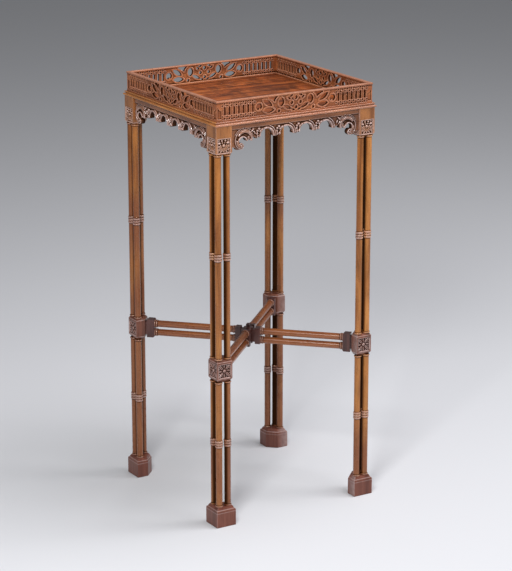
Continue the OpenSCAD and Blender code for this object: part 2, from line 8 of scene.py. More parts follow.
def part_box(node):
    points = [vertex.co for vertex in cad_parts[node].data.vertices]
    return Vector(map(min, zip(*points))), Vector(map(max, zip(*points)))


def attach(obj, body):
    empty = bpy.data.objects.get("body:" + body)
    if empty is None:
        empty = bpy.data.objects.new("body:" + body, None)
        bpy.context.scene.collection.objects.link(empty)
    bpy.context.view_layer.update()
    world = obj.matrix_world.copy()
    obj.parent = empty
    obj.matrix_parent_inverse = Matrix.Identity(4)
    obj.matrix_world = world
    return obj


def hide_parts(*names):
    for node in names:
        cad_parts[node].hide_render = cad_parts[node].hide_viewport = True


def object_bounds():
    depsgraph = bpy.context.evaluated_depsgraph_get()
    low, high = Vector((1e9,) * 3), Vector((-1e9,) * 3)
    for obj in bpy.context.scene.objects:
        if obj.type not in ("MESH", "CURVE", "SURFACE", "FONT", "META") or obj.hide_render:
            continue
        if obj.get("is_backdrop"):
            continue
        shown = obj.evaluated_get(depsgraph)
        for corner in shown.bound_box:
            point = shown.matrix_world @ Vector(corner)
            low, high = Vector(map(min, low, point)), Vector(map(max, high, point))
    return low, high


# Kettle stand: carved and turned mahogany around the fixed frame.
# Patterns are worked out in millimetres and turned into metres when a mesh is made.

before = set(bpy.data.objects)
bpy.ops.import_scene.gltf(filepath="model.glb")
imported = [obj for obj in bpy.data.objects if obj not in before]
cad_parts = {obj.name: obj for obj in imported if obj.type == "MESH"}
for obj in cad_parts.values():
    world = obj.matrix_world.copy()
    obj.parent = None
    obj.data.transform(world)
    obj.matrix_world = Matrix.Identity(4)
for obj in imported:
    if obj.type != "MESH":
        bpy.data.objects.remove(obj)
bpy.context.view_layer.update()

MM = 0.001
# Turns in degrees that carry the front side, and the front left corner, to the others
SIDES = {"front": 0, "right": 90, "back": 180, "left": 270}
CORNERS = {"front_left": 0, "front_right": 90, "back_right": 180, "back_left": 270}
# Columns of the front left leg: steps from its middle and the direction of the side darkened with
# painted shade, towards their neighbours. The two inner ones swap names with each quarter turn.
COLUMN_STEPS = {"outer": (-1, -1, 45), "along_x": (1, -1, 180), "along_y": (-1, 1, -90)}
SWAPPED = {"along_x": "along_y", "along_y": "along_x"}


def box_mm(node):
    low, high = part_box(node)
    return np.array(low) / MM, np.array(high) / MM


# Sizes read from the frame

tray_low, tray_high = box_mm("tray_panel")
gallery_high = box_mm("gallery_front")[1]
apron_low = box_mm("apron_front")[0]
block_low, block_high = box_mm("top_block_front_left")
middle_low, middle_high = box_mm("middle_block_front_left")
foot_low, foot_high = box_mm("foot_front_left")
half_tray = tray_high[0]
board_top = tray_high[2]
board_under = tray_low[2]
gallery_h = gallery_high[2] - board_top
block_w = block_high[0] - block_low[0]
leg_at = -(block_high[0] + block_low[0]) / 2
middle_z = (middle_low[2] + middle_high[2]) / 2

# Sizes of the gallery's pattern, on places u from the middle of a side and w above the board

gallery_t = 5.0
rebate_h = 2.5
stile_w = 11.0
rim_h = 3.2
rim_lip = 0.5
foot_rail_h = 2.6
inner_bead = 2.0
arch_count = 7
arch_pitch = 8.7
arch_w = 3.8
arch_sill = 9.4
arch_side_h = 11.2
pierce_r = 1.35
pierce_step = 3.3
loop_u = 28.0
loop_w = 9.4
loop_h = 13.5
crossing_u = 41.5
curl_u = 70.5
curl_r = 5.0
scroll_spread = 0.4
strap_w = 2.4
strap_h = 0.3
fret_sunk = 0.5
foot_bead_w = 1.6
foot_bead_h = 0.35
# The sunk panel of an end stile: its sides, and the disc cut from its upper inner corner
stile_panel = (1.5, 9.5, 4.0, 23.9)
stile_panel_head = (10.5, 24.9, 8.0)
stile_panel_depth = 0.8
window_top = gallery_h - rim_h
window_mid = (window_top + foot_rail_h) / 2

# Sizes of the apron's pattern, on places u from the middle, e from the top block and v down

apron_t = 9.0
ridge_w = 3.0
ridge_h = 1.6
apron_half = leg_at - block_w / 2
apron_face = apron_low[1] + ridge_h
bracket_h = 42.0
bracket_w = 47.5
cove_r = 7.8
hook_u = 20.8
hook_v = 29.0
hook_r = 6.4
big_u = 24.3
big_v = 26.8
big_r = 13.4
scroll_end_r = 2.2
volute_u = 17.8
volute_r = 5.4
point_h = 24.0
scallop_count = 4
scallop_r = 11.8
scallop_top = 12.4
curl_out = 1.4
curl_end_r = 2.0
cusp_half_l = 3.4
cusp_half_w = 2.2
band_h = 8.0
sunk = 1.0
line_depth = 0.35
line_w = 0.5
eye_out = 15.6
eye_v = 19.2
eye_w = 1.0
eye_depth = 1.2

# Sizes of the legs and the stretcher

column_r = 5.5
column_step = 8.2
bead_pitch = 4.3
bead_out = 1.05
collar_h = 3.0
upper_ring_z = 467.0
lower_ring_z = 146.0
top_cut = 15.5
top_panel_half = 11.5
top_panel_z = 15.0
top_low_in = 2.0
top_low_h = 3.5
middle_h = middle_high[2] - middle_low[2]
middle_cut = 11.5
middle_panel_half = 11.4
middle_low_in = 3.6
middle_low_h = 5.0
middle_high_in = 2.5
middle_high_h = 3.5
panel_depth = 3.0
frame_w = 2.0
frame_h = 0.3
foot_h = foot_high[2]
foot_face_h = 25.5
foot_ledge_h = 4.5
foot_ledge_in = 2.0
foot_swell = 1.4
foot_in = 4.2
foot_ease = 1.0
foot_cut = 14.5
rod_r = 5.8
rod_step = 7.9
rod_start = 21.0
rod_spare = 1.0
neck_l = 3.0
end_block_l = 13.5


# Distances in a flat pattern: negative inside a shape

def disc(u, w, cu, cw, radius):
    return np.hypot(u - cu, w - cw) - radius


def plate(u, w, u0, u1, w0, w1):
    du = np.maximum(u0 - u, u - u1)
    dw = np.maximum(w0 - w, w - w1)
    return np.minimum(np.maximum(du, dw), 0) + np.hypot(np.maximum(du, 0), np.maximum(dw, 0))


def leaf(u, w, cu, cw, half_l, half_w, angle):
    """A pointed leaf about (cu, cw), lying along an angle."""
    c, s = math.cos(math.radians(angle)), math.sin(math.radians(angle))
    along = (u - cu) * c + (w - cw) * s
    across = (w - cw) * c - (u - cu) * s
    radius = (half_w * half_w + half_l * half_l) / (2 * half_w)
    off = radius - half_w
    return np.maximum(np.hypot(across - off, along), np.hypot(across + off, along)) - radius


def arch(u, w, cu):
    spring = arch_sill + arch_side_h
    shaft = plate(u - cu, w, -arch_w / 2, arch_w / 2, arch_sill, spring + 1)
    head = np.maximum(
        np.hypot(u - cu - arch_w / 2, w - spring),
        np.hypot(u - cu + arch_w / 2, w - spring),
    ) - arch_w
    return np.where(w > spring, head, shaft)


# Profiles of carved work

def ease(value, low, high):
    t = np.clip((value - low) / (high - low), 0, 1)
    return t * t * (3 - 2 * t)


def span(value, low, high, soft):
    """1 between two values, fading to 0 over a soft length beyond each."""
    return ease(value, low - soft, low) * (1 - ease(value, high, high + soft))


def half_round(distance, width):
    """A half-round band about a distance of 0, from 0 to 1."""
    return np.sqrt(np.clip(1 - (2 * distance / width) ** 2, 0, 1))


def groove(distance, width):
    return np.exp(-(distance / width) ** 2)


def lump(u, w, cu, cw, ru, rw, angle=0):
    """A smooth lump with two radii, turned by an angle, from 0 to 1."""
    c, s = math.cos(math.radians(angle)), math.sin(math.radians(angle))
    along = (u - cu) * c + (w - cw) * s
    across = (w - cw) * c - (u - cu) * s
    return np.sqrt(np.clip(1 - (along / ru) ** 2 - (across / rw) ** 2, 0, 1))


def petal(a, b, angle, start, length, width, vein=0.3):
    """A pointed petal from a distance along an angle, with a vein, from 0 to 1."""
    c, s = math.cos(math.radians(angle)), math.sin(math.radians(angle))
    along = (a * c + b * s - start) / length
    across = b * c - a * s
    half = width / 2 * np.sin(math.pi * np.clip(along, 0.001, 0.999)) ** 0.7
    swell = np.sqrt(np.clip(1 - (across / half) ** 2, 0, 1)) * (0.7 + 0.3 * np.clip(along, 0, 1))
    swell = swell - vein * groove(across, 0.45) * (swell > 0)
    return np.where((along > 0) & (along < 1), swell, 0)


# Wear and painted light: from 1 on rubbed high places with a painted highlight to -1 in hollows with
# dirt and painted shade

NEAR_BLUR = 6
WIDE_BLUR = 60
WIDE_SHARE = 0.3
RUB_AND_HIGHLIGHT_WIDTH = 0.5
RUB_AND_HIGHLIGHT_PLACE = 0.8
REVEAL_SHADE = 0.8
REVEAL_WIDTH = 0.4
BLOCK_GAIN = 2.6
CORNER_RUB_AND_HIGHLIGHT = 0.55
SHOULDER_RUB_AND_HIGHLIGHT = 0.95
FOOT_RUB_AND_HIGHLIGHT = 0.5
GROUND_SHADE = 1.1
GROUND_DEPTHS = (0.9, 2.2)
BASE_SHADE = 0.8
RING_RUB_AND_HIGHLIGHT = 0.95
COLLAR_RUB_AND_HIGHLIGHT = 0.55
BEAD_CREST = 0.4
BEAD_SHADE = 0.9
BEAD_SHADE_WIDTH = 0.6
COLUMN_SHADE = 0.6
RIM_HIGHLIGHT = 0.95
# Cosines of the angle to the shaded side, between which a column's painted shade begins and is full
SHADED_COSINES = (0.1, 0.9)


def blurred(field, times):
    for _ in range(times):
        padded = np.pad(field, 1, mode="edge")
        field = (padded[:-2, 1:-1] + padded[2:, 1:-1] + padded[1:-1, :-2] + padded[1:-1, 2:]) / 4
    return field


def wear_and_painted_light_of(height, gain):
    near = height - blurred(height, NEAR_BLUR)
    wide = np.minimum(height - blurred(height, WIDE_BLUR), 0)
    return np.clip(gain * (near + WIDE_SHARE * wide), -1, 1)


# Meshes

LEAST_STEEP = 0.3
# Points across a half-round bead, the depth of the cut at its sides, and the points beyond it
BEAD_POINTS = 13
BEAD_CUT = 0.25
BEAD_CLEAR = (1.2, 3.0)


def mesh_from(name, points, faces, wear_and_painted_light, smooth_angle=40):
    """A smooth mesh from points in millimetres, with a value of wear and painted light at each point.
    """
    mesh = bpy.data.meshes.new(name)
    mesh.from_pydata((points * MM).tolist(), [], faces)
    attribute = mesh.attributes.new("wear_and_painted_light", "FLOAT", "POINT")
    attribute.data.foreach_set("value", np.asarray(wear_and_painted_light, np.float32))
    mesh.validate()
    mesh.shade_smooth()
    mesh.set_sharp_from_angle(angle=math.radians(smooth_angle))
    return mesh


def carved_mesh(name, us, ws, solid, front, back, thickness, place, edge_r, edge_wear_and_highlight, gain, rub):
    """A carved board. solid(u, w) is the distance into the wood; front and back give the carving
    above the two faces; place turns (u, w, depth behind the front face) into a point; the rub
    function gives wear and painted highlights beyond what the carving gives."""
    step = us[1] - us[0]
    u, w = np.meshgrid(us, ws, indexing="ij")
    field = solid(u, w)
    # Grid points near the outline move onto it
    slope_u, slope_w = np.gradient(field, us, ws)
    steep = np.maximum(slope_u ** 2 + slope_w ** 2, LEAST_STEEP)
    near = np.abs(field) < 0.5 * step
    u = u - np.where(near, field * slope_u / steep, 0)
    w = w - np.where(near, field * slope_w / steep, 0)
    u[0, :], u[-1, :] = us[0], us[-1]
    w[:, 0], w[:, -1] = ws[0], ws[-1]
    # Cells inside the outline, and the halves of cells that it cuts
    side = np.where(near, 0, np.sign(field)).astype(int)
    index = np.arange(side.size).reshape(side.shape)
    corners = np.stack([index[:-1, :-1], index[1:, :-1], index[1:, 1:], index[:-1, 1:]], -1)
    corners = corners.reshape(-1, 4)
    sides = side.ravel()[corners]
    out = (sides < 0).sum(1)
    inside = (sides > 0).sum(1)
    quads = corners[(out == 0) & (inside > 0)]
    cut = (out == 1) & (inside > 0)
    triangles = corners[cut][sides[cut] >= 0].reshape(-1, 3)
    # Edges with no cell on their other side
    edges = np.concatenate(
        [quads[:, [i, (i + 1) % 4]] for i in range(4)]
        + [triangles[:, [i, (i + 1) % 3]] for i in range(3)])
    forward = edges[:, 0] * side.size + edges[:, 1]
    backward = edges[:, 1] * side.size + edges[:, 0]
    rim = edges[~np.isin(forward, backward)]
    used = np.unique(np.concatenate([quads.ravel(), triangles.ravel()]))
    number = np.full(side.size, -1)
    number[used] = np.arange(len(used))

    # Edges fall away in a quarter round, with a rubbed crest that takes a painted highlight and a
    # reveal darkened with painted shade
    depth_in = np.maximum(solid(u, w), 0)
    fall = 1 - np.clip(depth_in, 0, edge_r) / edge_r
    fall = edge_r * (np.sqrt(1 - fall * fall) - 1)
    rubbed = edge_wear_and_highlight * groove(depth_in - RUB_AND_HIGHLIGHT_PLACE * edge_r, RUB_AND_HIGHLIGHT_WIDTH)
    rubbed = rubbed - REVEAL_SHADE * (1 - ease(depth_in, 0, REVEAL_WIDTH)) + rub(u, w)
    fu, fw = u.ravel()[used], w.ravel()[used]
    points, wear_and_painted_light = [], []
    # Crests of the carving take a painted highlight and its hollows painted shade, with rubbing and
    # dirt
    for carving, base, way in ((front(u, w), 0, -1), (back(u, w), thickness, 1)):
        points.append(place(fu, fw, base + way * (carving + fall).ravel()[used]))
        wear_and_painted_light.append(np.clip(wear_and_painted_light_of(carving, gain) + rubbed, -1, 1).ravel()[used])
    n = len(used)
    faces = number[quads].tolist() + number[triangles].tolist()
    faces += (number[quads][:, ::-1] + n).tolist() + (number[triangles][:, ::-1] + n).tolist()
    a, b = number[rim[:, 0]], number[rim[:, 1]]
    faces += np.stack([b, a, a + n, b + n], 1).tolist()
    return mesh_from(name, np.concatenate(points), faces, np.concatenate(wear_and_painted_light))


def block_plan(half, cut, step):
    """Plan of a block about the middle of its leg, as (x, y, outward x, outward y, face, place along
    the face), counterclockwise from the left face's far end. The inner corner is cut off."""
    inner = cut * math.sqrt(2) - half
    fine = np.linspace(-half, half, int(2 * half / step) + 1)[:-1]
    plan = [(-half, -s, -1, 0, 0, s) for s in fine]
    plan += [(s, -half, 0, -1, 1, s) for s in fine]
    plan += [(half, -half, 1, 0, 2, 0), (half, inner, 1, 0, 2, 0), (inner, half, 0, 1, 2, 0)]
    return plan


def carved_post(name, plan, levels, inset, relief, edge_z, edge_rub_and_highlight):
    """A post on a plan. inset(z) draws the plan in; relief(face, place, z) gives heights on a face;
    edge_z lists heights where the edge of a shoulder is rubbed and given a painted highlight, as far
    as its gain for these edges says."""
    plan = np.array(plan)
    count = len(plan)
    half = np.abs(plan[:, :2]).max()
    z, i = np.meshgrid(levels, np.arange(count), indexing="ij")
    shrink = 1 - inset(z) / half
    height = relief(plan[i, 4], plan[i, 5], z)
    x = plan[i, 0] * shrink + plan[i, 2] * height
    y = plan[i, 1] * shrink + plan[i, 3] * height
    here = np.arange(count)
    after = (here + 1) % count
    faces = []
    for row in range(len(levels) - 1):
        low, high = row * count, (row + 1) * count
        faces += np.stack([low + here, low + after, high + after, high + here], 1).tolist()
    faces.append(list(range(count))[::-1])
    faces.append(list(range((len(levels) - 1) * count, len(levels) * count)))
    # The carved faces' crests take a painted highlight and their hollows painted shade; the upright
    # edges are rubbed with a painted highlight, and the cut inner corner has none
    corner = np.where(plan[i, 4] < 2, half - np.abs(plan[i, 5]), 1)
    wear_and_painted_light = wear_and_painted_light_of(height, BLOCK_GAIN) + CORNER_RUB_AND_HIGHLIGHT * groove(corner, RUB_AND_HIGHLIGHT_WIDTH)
    # Painted shade deep in the carved ground
    wear_and_painted_light = wear_and_painted_light - GROUND_SHADE * ease(-height, *GROUND_DEPTHS)
    # Rubbed shoulder edges, with a painted highlight
    for edge in edge_z:
        wear_and_painted_light = wear_and_painted_light + edge_rub_and_highlight * groove(z - edge, RUB_AND_HIGHLIGHT_WIDTH)
    # Painted shade along the bottom of the post
    wear_and_painted_light = wear_and_painted_light - BASE_SHADE * groove(z - levels[0], RUB_AND_HIGHLIGHT_WIDTH)
    return mesh_from(name, np.stack([x, y, z], -1).reshape(-1, 3), faces, np.clip(wear_and_painted_light, -1, 1).ravel())


def turned_shape(places, radii, wears_and_painted_light, shade_side, segments=40):
    """Points, faces, and wear with painted light, of a piece turned about +Z, with painted shade
    towards +X.
    """
    angles = np.linspace(0, 2 * math.pi, segments, endpoint=False)
    z, angle = np.meshgrid(places, angles, indexing="ij")
    radius = np.repeat(radii[:, None], segments, 1)
    points = np.stack([radius * np.cos(angle), radius * np.sin(angle), z], -1).reshape(-1, 3)
    # Painted shade on the side towards +X
    wear_and_painted_light = wears_and_painted_light[:, None] - shade_side * ease(np.cos(angle), *SHADED_COSINES)
    here = np.arange(segments)
    after = (here + 1) % segments
    faces = []
    for row in range(len(places) - 1):
        low, high = row * segments, (row + 1) * segments
        faces += np.stack([low + here, low + after, high + after, high + here], 1).tolist()
    faces.append(here[::-1].tolist())
    faces.append((here + (len(places) - 1) * segments).tolist())
    return points, faces, np.clip(wear_and_painted_light, -1, 1).ravel()


def beaded_profile(low, high, radius, beads, end_beads):
    """Places, radii, and wear with painted light, along a turned length with beads at given places and
    at both ends.
    """
    centres = list(beads)
    for i in range(end_beads):
        centres += [low + (i + 0.5) * collar_h, high - (i + 0.5) * collar_h]
    widths = [bead_pitch] * len(beads) + [collar_h] * (2 * end_beads)
    fine = [np.linspace(c - s / 2, c + s / 2, BEAD_POINTS) for c, s in zip(centres, widths)]
    fine += [c + way * (s / 2 + np.array(BEAD_CLEAR))
             for c, s in zip(centres, widths) for way in (-1, 1)]
    places = np.unique(np.round(np.concatenate([np.linspace(low, high, BEAD_POINTS), *fine]), 3))
    places = places[(places >= low) & (places <= high)]
    radii = np.full(len(places), float(radius))
    wears_and_painted_light = np.zeros(len(places))
    for centre, width in zip(centres, widths):
        # Bead crests are rubbed and given a painted highlight
        bright = RING_RUB_AND_HIGHLIGHT if width == bead_pitch else COLLAR_RUB_AND_HIGHLIGHT
        bead = half_round(places - centre, width)
        radii = np.maximum(radii, radius - BEAD_CUT + (bead_out + BEAD_CUT) * bead)
        wears_and_painted_light = wears_and_painted_light + bright * (bead > BEAD_CREST)
        # Painted shade in the grooves at both sides of each bead
        for edge in (centre - width / 2, centre + width / 2):
            wears_and_painted_light = wears_and_painted_light - BEAD_SHADE * groove(places - edge, BEAD_SHADE_WIDTH)
    return places, radii, wears_and_painted_light


# Materials

# Scale of the noises of the grain, long along it and fine across it
GRAIN = {"x": (9, 110, 110), "y": (110, 9, 110), "z": (110, 110, 9), "arm": (9, 110, 110)}
RIPPLE = (46, 13, 13)
# Direction in which the red patches lean, darkening the wood with painted shade towards the floor and
# the back left leg
RUDDY_SHADE_WAY = (-0.35, 0.6, -0.5)
RUDDY_START = 0.2
RUDDY_TONE = (0.19, 0.05, 0.027)
PORE_SHARE = 0.45
RUB_AND_HIGHLIGHT_GAIN = 1.6
RUB_AND_HIGHLIGHT_LEAST = 0.12
SHADE_AND_GRIME_GAIN = 1.7
MOST_SHADE_AND_GRIME = 0.94
SHADE_AND_GRIME_TONE = 0.14
SPOT_ROUGH = 0.16
SHADE_AND_GRIME_ROUGH = 0.35
RUB_AND_HIGHLIGHT_POLISH = 0.1
COAT_ROUGHNESS = 0.18


def grey(value):
    return (value,) * 3


def node_of(tree, kind, **values):
    node = tree.nodes.new(kind)
    for key, value in values.items():
        if hasattr(node, key):
            setattr(node, key, value)
        else:
            node.inputs[key].default_value = value
    return node


def ramp_of(tree, source, stops):
    node = tree.nodes.new("ShaderNodeValToRGB")
    elements = node.color_ramp.elements
    while len(elements) < len(stops):
        elements.new(0.5)
    for element, (place, colour) in zip(elements, stops):
        element.position = place
        element.color = (*colour, 1)
    tree.links.new(source, node.inputs["Fac"])
    return node.outputs["Color"]


def math_of(tree, operation, *values):
    node = tree.nodes.new("ShaderNodeMath")
    node.operation = operation
    for slot, value in zip(node.inputs, values):
        if isinstance(value, (int, float)):
            slot.default_value = value
        else:
            tree.links.new(value, slot)
    return node.outputs[0]


def mix_of(tree, blend, factor, first, second):
    node = tree.nodes.new("ShaderNodeMix")
    node.data_type = "RGBA"
    node.blend_type = blend
    for slot, value in ((0, factor), (6, first), (7, second)):
        if isinstance(value, (int, float)):
            node.inputs[slot].default_value = value
        elif isinstance(value, tuple):
            node.inputs[slot].default_value = (*value, 1)
        else:
            tree.links.new(value, node.inputs[slot])
    return node.outputs[2]


def arm_coordinates(tree, place):
    """Distance from the middle and two short directions, the same along every arm."""
    parts = node_of(tree, "ShaderNodeSeparateXYZ")
    tree.links.new(place, parts.inputs[0])
    x, y, z = (parts.outputs[i] for i in range(3))
    out = math_of(tree, "ADD", math_of(tree, "MULTIPLY", x, x), math_of(tree, "MULTIPLY", y, y))
    out = math_of(tree, "SQRT", out)
    across = math_of(tree, "SUBTRACT", math_of(tree, "ABSOLUTE", x), math_of(tree, "ABSOLUTE", y))
    joined = node_of(tree, "ShaderNodeCombineXYZ")
    for slot, value in zip(joined.inputs, (out, across, z)):
        tree.links.new(value, slot)
    return joined.outputs[0]


def mahogany(name, dark, middle, light, along, worn_and_highlight_tone=(0.6, 0.33, 0.22), rub=0.6, gloss=0.36, coat=0.2,
             shine=0.3, shine_tint=(1, 1, 1), figure=0.0, ruddy=0.0):
    """Polished mahogany in three tones. along is the grain's direction: x, y, z or arm. The worn tone
    is that of rubbed places and doubles as a painted highlight; the rub share is how much of it shows;
    gloss is the roughness; figure is the strength of a rippled figure, and ruddy how far patches
    turn red, leaning into painted shade towards the floor and the back left leg."""
    material = bpy.data.materials.new(name)
    material.use_nodes = True
    tree = material.node_tree
    shader = tree.nodes["Principled BSDF"]
    place = node_of(tree, "ShaderNodeTexCoord").outputs["Object"]
    if along == "arm":
        place = arm_coordinates(tree, place)

    def scaled(scale):
        mapping = node_of(tree, "ShaderNodeMapping")
        mapping.inputs["Scale"].default_value = scale
        tree.links.new(place, mapping.inputs["Vector"])
        return mapping.outputs[0]

    def noise(source, scale, detail, distortion=0.0):
        node = node_of(tree, "ShaderNodeTexNoise", Scale=scale, Detail=detail, Distortion=distortion)
        tree.links.new(source, node.inputs["Vector"])
        return node.outputs["Fac"]

    # Bands of the grain, clouds over them and the figure
    grain = scaled(GRAIN[along])
    bands = noise(grain, scale=0.55, detail=5, distortion=1.2)
    colour = ramp_of(tree, bands, [(0.32, dark), (0.5, middle), (0.7, light)])
    clouds = noise(place, scale=14 + 10 * figure, detail=3, distortion=0.6 + figure)
    shade = ramp_of(tree, clouds, [(0.35, grey(0.84 - 0.35 * figure)), (0.65, grey(1.1))])
    colour = mix_of(tree, "MULTIPLY", 1.0, colour, shade)
    if figure:
        ripple = noise(scaled(RIPPLE), scale=1.0, detail=4, distortion=2.2)
        ripple = ramp_of(tree, ripple, [(0.35, grey(0.7)), (0.65, grey(1.16))])
        colour = mix_of(tree, "MULTIPLY", figure, colour, ripple)
    if ruddy:
        # Painted shade: the red patches grow towards the floor and the back left leg
        shade_lean = node_of(tree, "ShaderNodeVectorMath", operation="DOT_PRODUCT")
        tree.links.new(place, shade_lean.inputs[0])
        shade_lean.inputs[1].default_value = RUDDY_SHADE_WAY
        patches = noise(place, scale=7.0, detail=2, distortion=0.3)
        patches = math_of(tree, "ADD", patches, shade_lean.outputs["Value"])
        patches = math_of(tree, "ADD", patches, RUDDY_START)
        patches = ramp_of(tree, patches, [(0.42, grey(0)), (0.64, grey(ruddy))])
        colour = mix_of(tree, "MIX", patches, colour, RUDDY_TONE)
    pores = noise(grain, scale=5.0, detail=2)
    pore_shade = ramp_of(tree, pores, [(0.34, grey(0.5)), (0.46, grey(1.0))])
    colour = mix_of(tree, "MULTIPLY", PORE_SHARE, colour, pore_shade)

    # Rubbed high places with a painted highlight, broken up, and grime with painted shade in the
    # hollows
    wear_and_painted_light = node_of(tree, "ShaderNodeAttribute", attribute_name="wear_and_painted_light").outputs["Fac"]
    broken = noise(place, scale=130, detail=2)
    broken = math_of(tree, "MULTIPLY_ADD", broken, RUB_AND_HIGHLIGHT_GAIN, RUB_AND_HIGHLIGHT_LEAST)
    rubbed = math_of(tree, "MULTIPLY", math_of(tree, "MAXIMUM", wear_and_painted_light, 0.0), broken)
    rubbed = math_of(tree, "MINIMUM", rubbed, 1.0)
    grime_and_painted_shade = math_of(tree, "MINIMUM", math_of(tree, "MULTIPLY", wear_and_painted_light, -SHADE_AND_GRIME_GAIN), MOST_SHADE_AND_GRIME)
    grime_and_painted_shade = math_of(tree, "MAXIMUM", grime_and_painted_shade, 0.0)
    colour = mix_of(tree, "MIX", math_of(tree, "MULTIPLY", rubbed, rub), colour, worn_and_highlight_tone)
    # Painted shade, with grime, in the hollows: a darker tone of the wood's own dark
    colour = mix_of(tree, "MIX", grime_and_painted_shade, colour, tuple(SHADE_AND_GRIME_TONE * c for c in dark))
    tree.links.new(colour, shader.inputs["Base Color"])

    # Polish: uneven, dull in the grime and painted shade, and brighter where rubbed
    spots = noise(place, scale=60, detail=4)
    rough = math_of(tree, "ADD", gloss - SPOT_ROUGH / 2, math_of(tree, "MULTIPLY", spots, SPOT_ROUGH))
    rough = math_of(tree, "ADD", rough, math_of(tree, "MULTIPLY", grime_and_painted_shade, SHADE_AND_GRIME_ROUGH))
    rough = math_of(tree, "SUBTRACT", rough, math_of(tree, "MULTIPLY", rubbed, RUB_AND_HIGHLIGHT_POLISH))
    tree.links.new(rough, shader.inputs["Roughness"])
    free_of_grime_and_shade = math_of(tree, "SUBTRACT", 1.0, grime_and_painted_shade)
    tree.links.new(math_of(tree, "MULTIPLY", free_of_grime_and_shade, shine), shader.inputs["Specular IOR Level"])
    shader.inputs["Specular Tint"].default_value = (*shine_tint, 1)
    tree.links.new(math_of(tree, "MULTIPLY", free_of_grime_and_shade, coat), shader.inputs["Coat Weight"])
    shader.inputs["Coat Roughness"].default_value = COAT_ROUGHNESS
    bump = node_of(tree, "ShaderNodeBump", Strength=0.25, Distance=0.0002)
    uneven = math_of(tree, "ADD", pores, math_of(tree, "MULTIPLY", spots, 0.6))
    tree.links.new(uneven, bump.inputs["Height"])
    tree.links.new(bump.outputs[0], shader.inputs["Normal"])
    return material


gallery_wood = mahogany(
    "gallery_wood", (0.21, 0.06, 0.02), (0.34, 0.1, 0.034), (0.45, 0.155, 0.055), "x",
    worn_and_highlight_tone=(0.69, 0.37, 0.25), shine=0.4)
apron_wood = mahogany(
    "apron_wood", (0.16, 0.053, 0.02), (0.25, 0.088, 0.032), (0.33, 0.127, 0.048), "x",
    worn_and_highlight_tone=(0.69, 0.54, 0.52), rub=0.55, gloss=0.26, coat=0.9, shine=0.5)
block_wood = mahogany(
    "block_wood", (0.24, 0.085, 0.027), (0.36, 0.135, 0.042), (0.46, 0.185, 0.06), "z",
    worn_and_highlight_tone=(0.69, 0.53, 0.5), rub=0.62, gloss=0.3, coat=0.5, shine=0.4)
middle_wood = mahogany(
    "middle_wood", (0.12, 0.04, 0.023), (0.19, 0.064, 0.037), (0.25, 0.09, 0.055), "z",
    worn_and_highlight_tone=(0.62, 0.47, 0.44), rub=0.65, gloss=0.3)
end_wood = mahogany(
    "end_wood", (0.045, 0.018, 0.015), (0.08, 0.031, 0.026), (0.13, 0.05, 0.041), "z",
    gloss=0.3, coat=0.3)
# Paler wood for eased edges: rubbed wear with a painted highlight
edge_wood_with_highlight = mahogany(
    "edge_wood_with_highlight", (0.2, 0.11, 0.09), (0.29, 0.165, 0.14), (0.37, 0.22, 0.19), "z",
    gloss=0.28, coat=0.3)
column_wood = mahogany(
    "column_wood", (0.2, 0.058, 0.013), (0.4, 0.14, 0.032), (0.55, 0.22, 0.056), "z",
    worn_and_highlight_tone=(0.58, 0.4, 0.37), gloss=0.28, shine=0.7, shine_tint=(1, 0.8, 0.5), ruddy=0.75)
rod_wood = mahogany(
    "rod_wood", (0.17, 0.048, 0.012), (0.32, 0.1, 0.024), (0.43, 0.15, 0.04), "arm",
    worn_and_highlight_tone=(0.56, 0.38, 0.34), gloss=0.28, shine=0.8, shine_tint=(1, 0.85, 0.75), ruddy=0.35)
foot_wood = mahogany(
    "foot_wood", (0.12, 0.034, 0.021), (0.18, 0.054, 0.033), (0.235, 0.079, 0.05), "z",
    worn_and_highlight_tone=(0.62, 0.47, 0.44), rub=0.8, gloss=0.34, coat=0.25)
# The front and back mouldings take a mauve tone that paints a lilac reflection; the left and right a
# brighter golden tone that paints the light on those sides
moulding_x_reflection_tone = mahogany(
    "moulding_wood_x_painted_reflection", (0.28, 0.1, 0.048), (0.4, 0.155, 0.078), (0.5, 0.21, 0.11), "x",
    gloss=0.28, coat=0.8, shine=0.5)
moulding_y_light_tone = mahogany(
    "moulding_wood_y_painted_light", (0.38, 0.14, 0.042), (0.52, 0.21, 0.065), (0.62, 0.27, 0.09), "y",
    gloss=0.34, coat=0.1)
tray_wood = mahogany(
    "tray_wood", (0.15, 0.028, 0.006), (0.29, 0.067, 0.013), (0.47, 0.135, 0.033), "x",
    gloss=0.46, coat=0.08, shine=0.35, figure=0.9)
inner_wood = mahogany(
    "inner_wood", (0.2, 0.11, 0.055), (0.32, 0.19, 0.1), (0.42, 0.27, 0.15), "x", coat=0.0)


def finish_with(thing, material):
    thing.data.materials.clear()
    thing.data.materials.append(material)


def add_piece(name, mesh, matrix, nodes, material):
    piece = bpy.data.objects.new(name, mesh)
    bpy.context.scene.collection.objects.link(piece)
    piece.matrix_world = matrix
    if not mesh.materials:
        mesh.materials.append(material)
    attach(piece, "root")
    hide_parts(nodes)
    return piece


def turned_by(angle):
    return Matrix.Rotation(math.radians(angle), 4, "Z")


def moved(x, y, z):
    return Matrix.Translation(Vector((x, y, z)) * MM)


# Pierced galleries

def arcade_openings(u, w):
    low = foot_rail_h + pierce_r + 0.5
    high = window_top - pierce_r - 0.4
    outer = half_tray - stile_w
    openings = []
    for i in range(arch_count):
        cu = outer - (i + 0.5) * arch_pitch
        openings += [arch(u, w, cu), disc(u, w, cu, low, pierce_r), disc(u, w, cu, high, pierce_r)]
    for i in range(arch_count + 1):
        cu = outer - i * arch_pitch
        for cw in (low + pierce_step, high - pierce_step):
            openings.append(disc(u, w, cu, cw, pierce_r))
    return np.minimum.reduce(openings)


